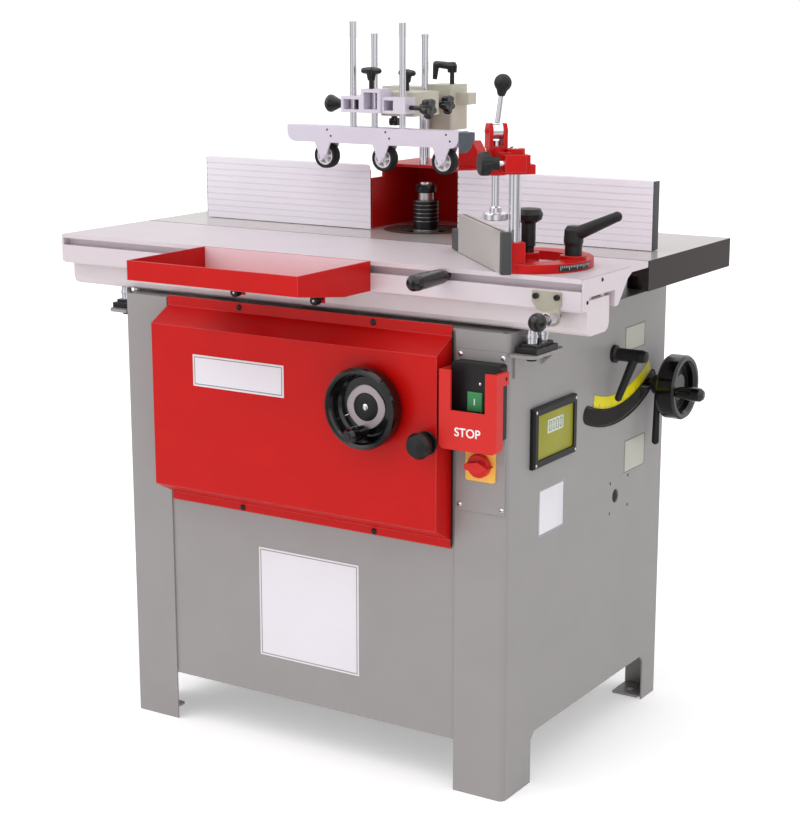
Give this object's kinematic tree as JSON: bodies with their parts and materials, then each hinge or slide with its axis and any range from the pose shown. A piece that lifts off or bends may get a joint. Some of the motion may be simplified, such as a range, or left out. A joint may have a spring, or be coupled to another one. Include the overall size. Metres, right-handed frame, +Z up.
{
  "type": "spindle moulder",
  "caption": "Floor-standing spindle moulder: sheet cabinet, tilting rise-and-fall spindle, fence with roller hold-down, sliding table with mitre gauge and clamp.",
  "frame": {"origin": "on the floor at the centre of the cabinet footprint", "axes": "+X to the right along the fence as the operator sees it, +Y away from the operator, +Z up"},
  "size_m": [1.0187, 0.786, 1.209],
  "materials": {
    "grey_paint": "gloss grey paint",
    "red_paint": "gloss red paint",
    "beige_paint": "satin grey-beige paint",
    "black_plastic": "matt black",
    "red_plastic": "gloss red",
    "yellow_plastic": "gloss yellow",
    "green_plastic": "gloss green",
    "cast_iron": "ground",
    "aluminium": "satin extruded",
    "steel": "machined",
    "bright_steel": "bright",
    "black_steel": "blackened",
    "motor_paint": "satin grey",
    "rubber": "matt black"
  },
  "bodies": {
    "cabinet": {"left_side_panel": "grey_paint", "right_side_panel": "grey_paint", "front_panel": "grey_paint", "rear_panel": "grey_paint", "top_frame": "grey_paint", "front_cover": "red_paint", "fasteners": "black_steel", "switch_plate": "grey_paint", "switch_box": "black_plastic", "isolator_plate": "yellow_plastic", "display_unit": "black_plastic", "main_table": "cast_iron", "insert_ring": "steel", "rail_brackets": "grey_paint", "guide_rail": "aluminium", "trunnion_brackets": "cast_iron"},
    "start_button": {"start_button": "green_plastic"},
    "stop_flap": {"stop_flap": "red_plastic"},
    "isolator_knob": {"isolator_knob": "red_plastic"},
    "height_lock": {"height_lock_knob": "black_plastic"},
    "tilt_lock": {"tilt_lock_lever": "black_plastic"},
    "height_wheel": {"height_wheel": "black_plastic"},
    "height_grip": {"height_wheel_grip": "black_plastic"},
    "tilt_unit": {"tilt_frame": "cast_iron"},
    "tilt_wheel": {"tilt_wheel": "black_plastic"},
    "tilt_grip": {"tilt_wheel_grip": "black_plastic"},
    "tilt_clamp": {"tilt_shaft_lever": "black_steel"},
    "lift_screw": {"lift_screw": "steel"},
    "carriage": {"quill_housing": "cast_iron", "spindle_bearings": "bright_steel", "motor": "motor_paint", "drive_belt": "rubber"},
    "spindle": {"spindle_arbor": "steel", "ring_stack": "black_steel"},
    "motor_rotor": {"motor_pulley": "steel"},
    "sliding_table": {"sliding_table": "aluminium", "sliding_end_plates": "aluminium", "extension_table": "red_paint", "push_handle": "black_plastic", "latch_plate": "steel"},
    "latch_pin": {"latch_plunger": "black_plastic"},
    "mitre_gauge": {"mitre_base": "red_paint", "mitre_fence": "aluminium", "clamp_pillar": "bright_steel"},
    "mitre_lever": {"mitre_lock_lever": "black_plastic"},
    "mitre_knob": {"mitre_knob": "black_plastic"},
    "clamp_head": {"clamp_head": "red_paint"},
    "clamp_lever": {"clamp_lever": "black_plastic"},
    "hold_down": {"hold_down": "bright_steel"},
    "hood": {"hood": "red_paint", "pressure_post": "bright_steel"},
    "left_fence": {"left_fence": "aluminium"},
    "right_fence": {"right_fence": "aluminium"},
    "pressure_bracket": {"pressure_bracket": "beige_paint", "pressure_arms": "aluminium", "pressure_knobs": "black_plastic"},
    "pressure_bar": {"pressure_bar": "aluminium"},
    "roller_left": {"press_wheel_left": "rubber"},
    "roller_middle": {"press_wheel_middle": "rubber"},
    "roller_right": {"press_wheel_right": "rubber"}
  },
  "joints": [
    {"name": "start_press", "type": "slide", "parent": "cabinet", "child": "start_button", "axis": [0, 1, 0], "range_m": [0, 0.003], "stiffness_N_per_m": 600},
    {"name": "stop_flap_lift", "type": "hinge", "parent": "cabinet", "child": "stop_flap", "pos_m": [0.332, -0.308, 0.692], "axis": [1, 0, 0], "range_deg": [-95, 0]},
    {"name": "isolator_turn", "type": "hinge", "parent": "cabinet", "child": "isolator_knob", "pos_m": [0.331, -0.292, 0.549], "axis": [0, -1, 0], "range_deg": [0, 90]},
    {"name": "height_lock_turn", "type": "hinge", "parent": "cabinet", "child": "height_lock", "pos_m": [0.259, -0.335, 0.583], "axis": [0, -1, 0], "range_deg": [-90, 90]},
    {"name": "tilt_lock_swing", "type": "hinge", "parent": "cabinet", "child": "tilt_lock", "pos_m": [0.375, 0.075, 0.667], "axis": [1, 0, 0], "range_deg": [-45, 45]},
    {"name": "height_wheel_turn", "type": "hinge", "parent": "cabinet", "child": "height_wheel", "pos_m": [0.155, -0.335, 0.629], "axis": [0, -1, 0], "range_deg": [-1441, 721]},
    {"name": "height_grip_spin", "type": "hinge", "parent": "height_wheel", "child": "height_grip", "pos_m": [0.155, -0.349, 0.592], "axis": [0, -1, 0], "continuous": true},
    {"name": "tilt", "type": "hinge", "parent": "cabinet", "child": "tilt_unit", "pos_m": [0, 0.085, 0.85], "axis": [-1, 0, 0], "range_deg": [0, 45]},
    {"name": "tilt_wheel_turn", "type": "hinge", "parent": "tilt_unit", "child": "tilt_wheel", "pos_m": [0.375, 0.21666, 0.59161], "axis": [1, 0, 0], "range_deg": [-1, 1081]},
    {"name": "tilt_grip_spin", "type": "hinge", "parent": "tilt_wheel", "child": "tilt_grip", "pos_m": [0.448, 0.17266, 0.59161], "axis": [1, 0, 0], "continuous": true},
    {"name": "tilt_clamp_swing", "type": "hinge", "parent": "tilt_unit", "child": "tilt_clamp", "pos_m": [0.395, 0.21666, 0.59161], "axis": [1, 0, 0], "range_deg": [-30, 30]},
    {"name": "lift_screw_turn", "type": "hinge", "parent": "tilt_unit", "child": "lift_screw", "pos_m": [-0.066, 0.085, 0.45], "axis": [0, 0, 1], "range_deg": [-1441, 721]},
    {"name": "spindle_lift", "type": "slide", "parent": "tilt_unit", "child": "carriage", "axis": [0, 0, 1], "range_m": [-0.04, 0.02]},
    {"name": "spindle_spin", "type": "hinge", "parent": "carriage", "child": "spindle", "pos_m": [0, 0.085, 0.85], "axis": [0, 0, 1], "continuous": true},
    {"name": "motor_spin", "type": "hinge", "parent": "carriage", "child": "motor_rotor", "pos_m": [0, 0.215, 0.51], "axis": [0, 0, 1], "continuous": true},
    {"name": "table_slide", "type": "slide", "parent": "cabinet", "child": "sliding_table", "axis": [1, 0, 0], "range_m": [-0.35, 0.35]},
    {"name": "latch_pull", "type": "slide", "parent": "sliding_table", "child": "latch_pin", "axis": [0, -1, 0], "range_m": [0, 0.012], "stiffness_N_per_m": 500},
    {"name": "mitre_turn", "type": "hinge", "parent": "sliding_table", "child": "mitre_gauge", "pos_m": [0.362, -0.209, 0.85], "axis": [0, 0, 1], "range_deg": [0, 90]},
    {"name": "mitre_lever_turn", "type": "hinge", "parent": "mitre_gauge", "child": "mitre_lever", "pos_m": [0.43625, -0.20405, 0.87], "axis": [0, 0, 1], "range_deg": [-60, 60]},
    {"name": "mitre_knob_turn", "type": "hinge", "parent": "mitre_gauge", "child": "mitre_knob", "pos_m": [0.362, -0.209, 0.87], "axis": [0, 0, 1], "range_deg": [-180, 180]},
    {"name": "clamp_swivel", "type": "hinge", "parent": "mitre_gauge", "child": "clamp_head", "pos_m": [0.38321, -0.29244, 0.996], "axis": [0, 0, 1], "range_deg": [-60, 60]},
    {"name": "clamp_lever_turn", "type": "hinge", "parent": "clamp_head", "child": "clamp_lever", "pos_m": [0.35634, -0.30234, 1.058], "axis": [0.7071, 0.7071, 0], "range_deg": [-0.5, 80.5]},
    {"name": "hold_down_press", "type": "slide", "parent": "clamp_head", "child": "hold_down", "axis": [0, 0, -1], "range_m": [0, 0.008]},
    {"name": "hood_slide", "type": "slide", "parent": "cabinet", "child": "hood", "axis": [0, 1, 0], "range_m": [-0.01, 0.03]},
    {"name": "left_fence_slide", "type": "slide", "parent": "hood", "child": "left_fence", "axis": [1, 0, 0], "range_m": [-0.02, 0.04]},
    {"name": "right_fence_slide", "type": "slide", "parent": "hood", "child": "right_fence", "axis": [1, 0, 0], "range_m": [-0.04, 0.02]},
    {"name": "bracket_slide", "type": "slide", "parent": "hood", "child": "pressure_bracket", "axis": [0, 0, 1], "range_m": [0, 0.06]},
    {"name": "bar_slide", "type": "slide", "parent": "pressure_bracket", "child": "pressure_bar", "axis": [0, 0, 1], "range_m": [-0.09, 0.012]},
    {"name": "roller_left_spin", "type": "hinge", "parent": "pressure_bar", "child": "roller_left", "pos_m": [-0.1307, -0.029, 0.982], "axis": [0, 1, 0], "continuous": true},
    {"name": "roller_middle_spin", "type": "hinge", "parent": "pressure_bar", "child": "roller_middle", "pos_m": [-0.012, -0.029, 0.982], "axis": [0, 1, 0], "continuous": true},
    {"name": "roller_right_spin", "type": "hinge", "parent": "pressure_bar", "child": "roller_right", "pos_m": [0.1067, -0.029, 0.982], "axis": [0, 1, 0], "continuous": true}
  ],
  "couplings": [
    {"joint": "height_wheel_turn", "follows": "spindle_lift", "rad_per_m": 628.32},
    {"joint": "lift_screw_turn", "follows": "spindle_lift", "rad_per_m": 628.32},
    {"joint": "tilt_wheel_turn", "follows": "tilt", "ratio": 24},
    {"joint": "motor_spin", "follows": "spindle_spin", "ratio": 0.76471},
    {"joint": "clamp_lever_turn", "follows": "hold_down_press", "rad_per_m": 174.53}
  ]
}
